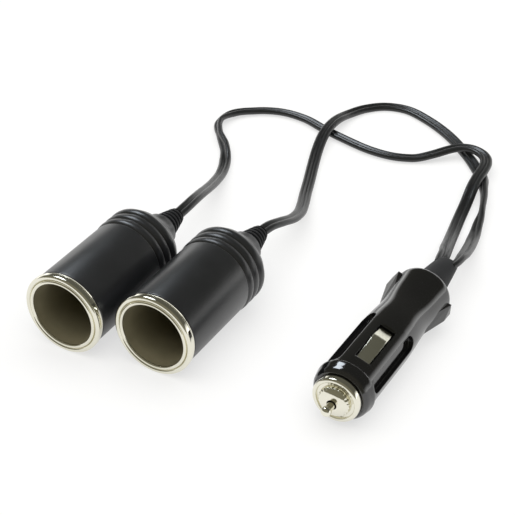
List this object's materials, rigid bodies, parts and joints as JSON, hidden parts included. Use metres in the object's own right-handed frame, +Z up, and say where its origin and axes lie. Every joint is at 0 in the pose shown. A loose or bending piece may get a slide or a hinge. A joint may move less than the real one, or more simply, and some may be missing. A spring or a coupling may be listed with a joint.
{
  "type": "car socket splitter",
  "caption": "Vehicle accessory plug whose flat twin cords each feed an in-line female power socket, lying on a table.",
  "frame": {"origin": "on the surface it lies on, below the middle of the box round the plug and both sockets, without the cords", "axes": "+Z up; plug and socket axes lie along Y, with the socket mouths and the plug's nose towards -Y and the cords leaving towards +Y; +X runs from the left socket to the plug"},
  "size_m": [0.1459, 0.213, 0.03],
  "materials": {
    "soft_black": "satin",
    "gloss_black": "polished",
    "cord_sheath": "smooth",
    "nickel_plate": "bright nickel",
    "brass": "plain",
    "steel": "zinc plated",
    "fibre_board": "pressed fibre",
    "fuse_glass": "clear"
  },
  "bodies": {
    "splitter": {"left_socket_shell": "soft_black", "left_socket_strain_relief": "soft_black", "left_socket_contact_sleeve": "nickel_plate", "left_socket_insulator_disc": "fibre_board", "left_socket_centre_contact": "brass", "left_socket_centre_rivet": "brass", "left_socket_live_terminal": "brass", "left_socket_earth_terminal": "brass", "right_socket_shell": "soft_black", "right_socket_strain_relief": "soft_black", "right_socket_contact_sleeve": "nickel_plate", "right_socket_insulator_disc": "fibre_board", "right_socket_centre_contact": "brass", "right_socket_centre_rivet": "brass", "right_socket_live_terminal": "brass", "right_socket_earth_terminal": "brass", "plug_upper_case": "gloss_black", "plug_lower_case": "gloss_black", "plug_case_screw": "steel", "plug_nose_ring": "nickel_plate", "plug_pin_spring": "steel", "plug_live_plate": "brass", "plug_strain_relief": "soft_black", "left_cord": "cord_sheath", "right_cord": "cord_sheath"},
    "pin_and_fuse": {"plug_centre_pin": "nickel_plate", "plug_fuse_front_cap": "nickel_plate", "plug_fuse_glass": "fuse_glass", "plug_fuse_rear_cap": "nickel_plate"},
    "upper_side_contact": {"plug_upper_side_contact": "nickel_plate"},
    "lower_side_contact": {"plug_lower_side_contact": "nickel_plate"}
  },
  "joints": [
    {"name": "pin_slide", "type": "slide", "parent": "splitter", "child": "pin_and_fuse", "axis": [0, 1, 0], "range_m": [0, 0.0025], "stiffness_N_per_m": 900, "springref_m": -0.002, "deforming": ["plug_pin_spring"]},
    {"name": "upper_contact_press", "type": "hinge", "parent": "splitter", "child": "upper_side_contact", "pos_m": [0.0528, -0.0322, 0.01794], "axis": [-0.9455, 0, 0.3256], "range_deg": [0, 3.5], "stiffness_Nm_per_rad": 0.6, "springref_deg": -1.72},
    {"name": "lower_contact_press", "type": "hinge", "parent": "splitter", "child": "lower_side_contact", "pos_m": [0.0476, -0.0322, 0.00286], "axis": [0.9455, 0, -0.3256], "range_deg": [0, 3.5], "stiffness_Nm_per_rad": 0.6, "springref_deg": -1.72}
  ]
}
